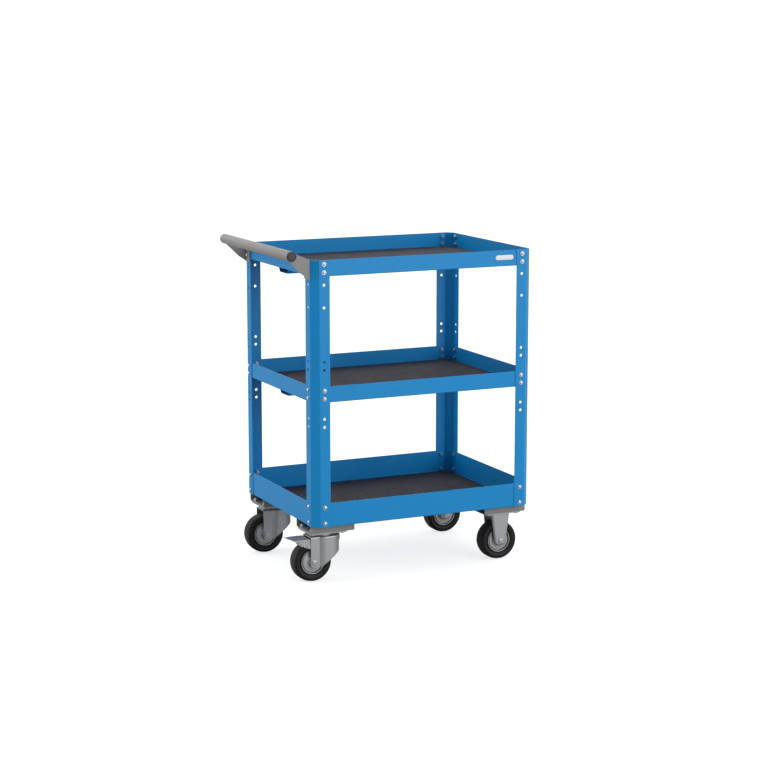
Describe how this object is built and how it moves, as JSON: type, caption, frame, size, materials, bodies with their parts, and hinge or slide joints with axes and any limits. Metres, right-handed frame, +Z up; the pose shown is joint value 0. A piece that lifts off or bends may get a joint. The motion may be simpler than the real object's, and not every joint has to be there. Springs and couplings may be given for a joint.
{
  "type": "workshop trolley",
  "caption": "Open workshop trolley with bolted steel trays and rubber mats on bevelled corner posts, a push handle, fixed and swivel casters and a pedal brake.",
  "frame": {"origin": "middle of the trolley's bounding box in plan, on the floor that the wheels stand on", "axes": "+X along the length, away from the push handle; +Y from the front face to the rear; +Z up"},
  "size_m": [0.6694, 0.458, 0.8305],
  "materials": {
    "blue_paint": "semi-gloss powder coat, sky blue",
    "grey_paint": "satin powder coat, warm grey",
    "mat_rubber": "finely ribbed rubber matting, dark grey",
    "zinc": "bright zinc plated",
    "caster_zinc": "pressed steel, satin zinc plated",
    "bearing_steel": "polished and greased",
    "tyre_rubber": "black moulded rubber",
    "bush_plastic": "moulded nylon",
    "black_plastic": "moulded, fine texture",
    "plate_white": "blank domed label, white"
  },
  "bodies": {
    "frame": {"post_front_left": "blue_paint", "post_front_right": "blue_paint", "post_rear_left": "blue_paint", "post_rear_right": "blue_paint", "tray_top": "blue_paint", "mat_top": "mat_rubber", "tray_middle": "blue_paint", "mat_middle": "mat_rubber", "tray_bottom": "blue_paint", "mat_bottom": "mat_rubber", "stiffener_top": "blue_paint", "stiffener_middle": "blue_paint", "tray_bolts": "zinc", "tray_nuts": "zinc", "handle_tube": "grey_paint", "handle_bracket_front": "grey_paint", "handle_cap_front": "black_plastic", "handle_bracket_rear": "grey_paint", "handle_cap_rear": "black_plastic", "name_plate": "plate_white", "caster_bracket_front_left": "grey_paint", "caster_bracket_front_right": "grey_paint", "caster_bracket_rear_left": "grey_paint", "caster_bracket_rear_right": "grey_paint", "caster_bolts": "zinc", "caster_nuts": "zinc", "swivel_plate_front_left": "caster_zinc", "kingpin_front_left": "caster_zinc", "race_balls_front_left": "bearing_steel", "swivel_plate_rear_left": "caster_zinc", "kingpin_rear_left": "caster_zinc", "race_balls_rear_left": "bearing_steel", "fork_front_right": "caster_zinc", "axle_front_right": "zinc", "axle_nut_front_right": "zinc", "fork_rear_right": "caster_zinc", "axle_rear_right": "zinc", "axle_nut_rear_right": "zinc"},
    "fork_front_left": {"fork_front_left": "caster_zinc", "axle_front_left": "zinc", "axle_nut_front_left": "zinc", "brake_housing": "caster_zinc", "brake_rivets": "zinc"},
    "fork_rear_left": {"fork_rear_left": "caster_zinc", "axle_rear_left": "zinc", "axle_nut_rear_left": "zinc"},
    "brake_pedal": {"brake_pedal": "caster_zinc"},
    "wheel_front_left": {"tyre_front_left": "tyre_rubber", "hub_front_left": "caster_zinc", "bush_front_left": "bush_plastic"},
    "wheel_front_right": {"tyre_front_right": "tyre_rubber", "hub_front_right": "caster_zinc", "bush_front_right": "bush_plastic"},
    "wheel_rear_left": {"tyre_rear_left": "tyre_rubber", "hub_rear_left": "caster_zinc", "bush_rear_left": "bush_plastic"},
    "wheel_rear_right": {"tyre_rear_right": "tyre_rubber", "hub_rear_right": "caster_zinc", "bush_rear_right": "bush_plastic"}
  },
  "joints": [
    {"name": "swivel_front_left", "type": "hinge", "parent": "frame", "child": "fork_front_left", "pos_m": [-0.21725, -0.1565, 0.112], "axis": [0, 0, 1], "continuous": true},
    {"name": "swivel_rear_left", "type": "hinge", "parent": "frame", "child": "fork_rear_left", "pos_m": [-0.21725, 0.1565, 0.112], "axis": [0, 0, 1], "continuous": true},
    {"name": "roll_front_left", "type": "hinge", "parent": "fork_front_left", "child": "wheel_front_left", "pos_m": [-0.24975, -0.1565, 0.05], "axis": [0, 1, 0], "continuous": true},
    {"name": "roll_front_right", "type": "hinge", "parent": "frame", "child": "wheel_front_right", "pos_m": [0.27075, -0.1565, 0.05], "axis": [0, 1, 0], "continuous": true},
    {"name": "roll_rear_left", "type": "hinge", "parent": "fork_rear_left", "child": "wheel_rear_left", "pos_m": [-0.24975, 0.1565, 0.05], "axis": [0, 1, 0], "continuous": true},
    {"name": "roll_rear_right", "type": "hinge", "parent": "frame", "child": "wheel_rear_right", "pos_m": [0.27075, 0.1565, 0.05], "axis": [0, 1, 0], "continuous": true},
    {"name": "brake_press", "type": "hinge", "parent": "fork_front_left", "child": "brake_pedal", "pos_m": [-0.26325, -0.1565, 0.0925], "axis": [0, -1, 0], "range_deg": [0, 6]}
  ]
}
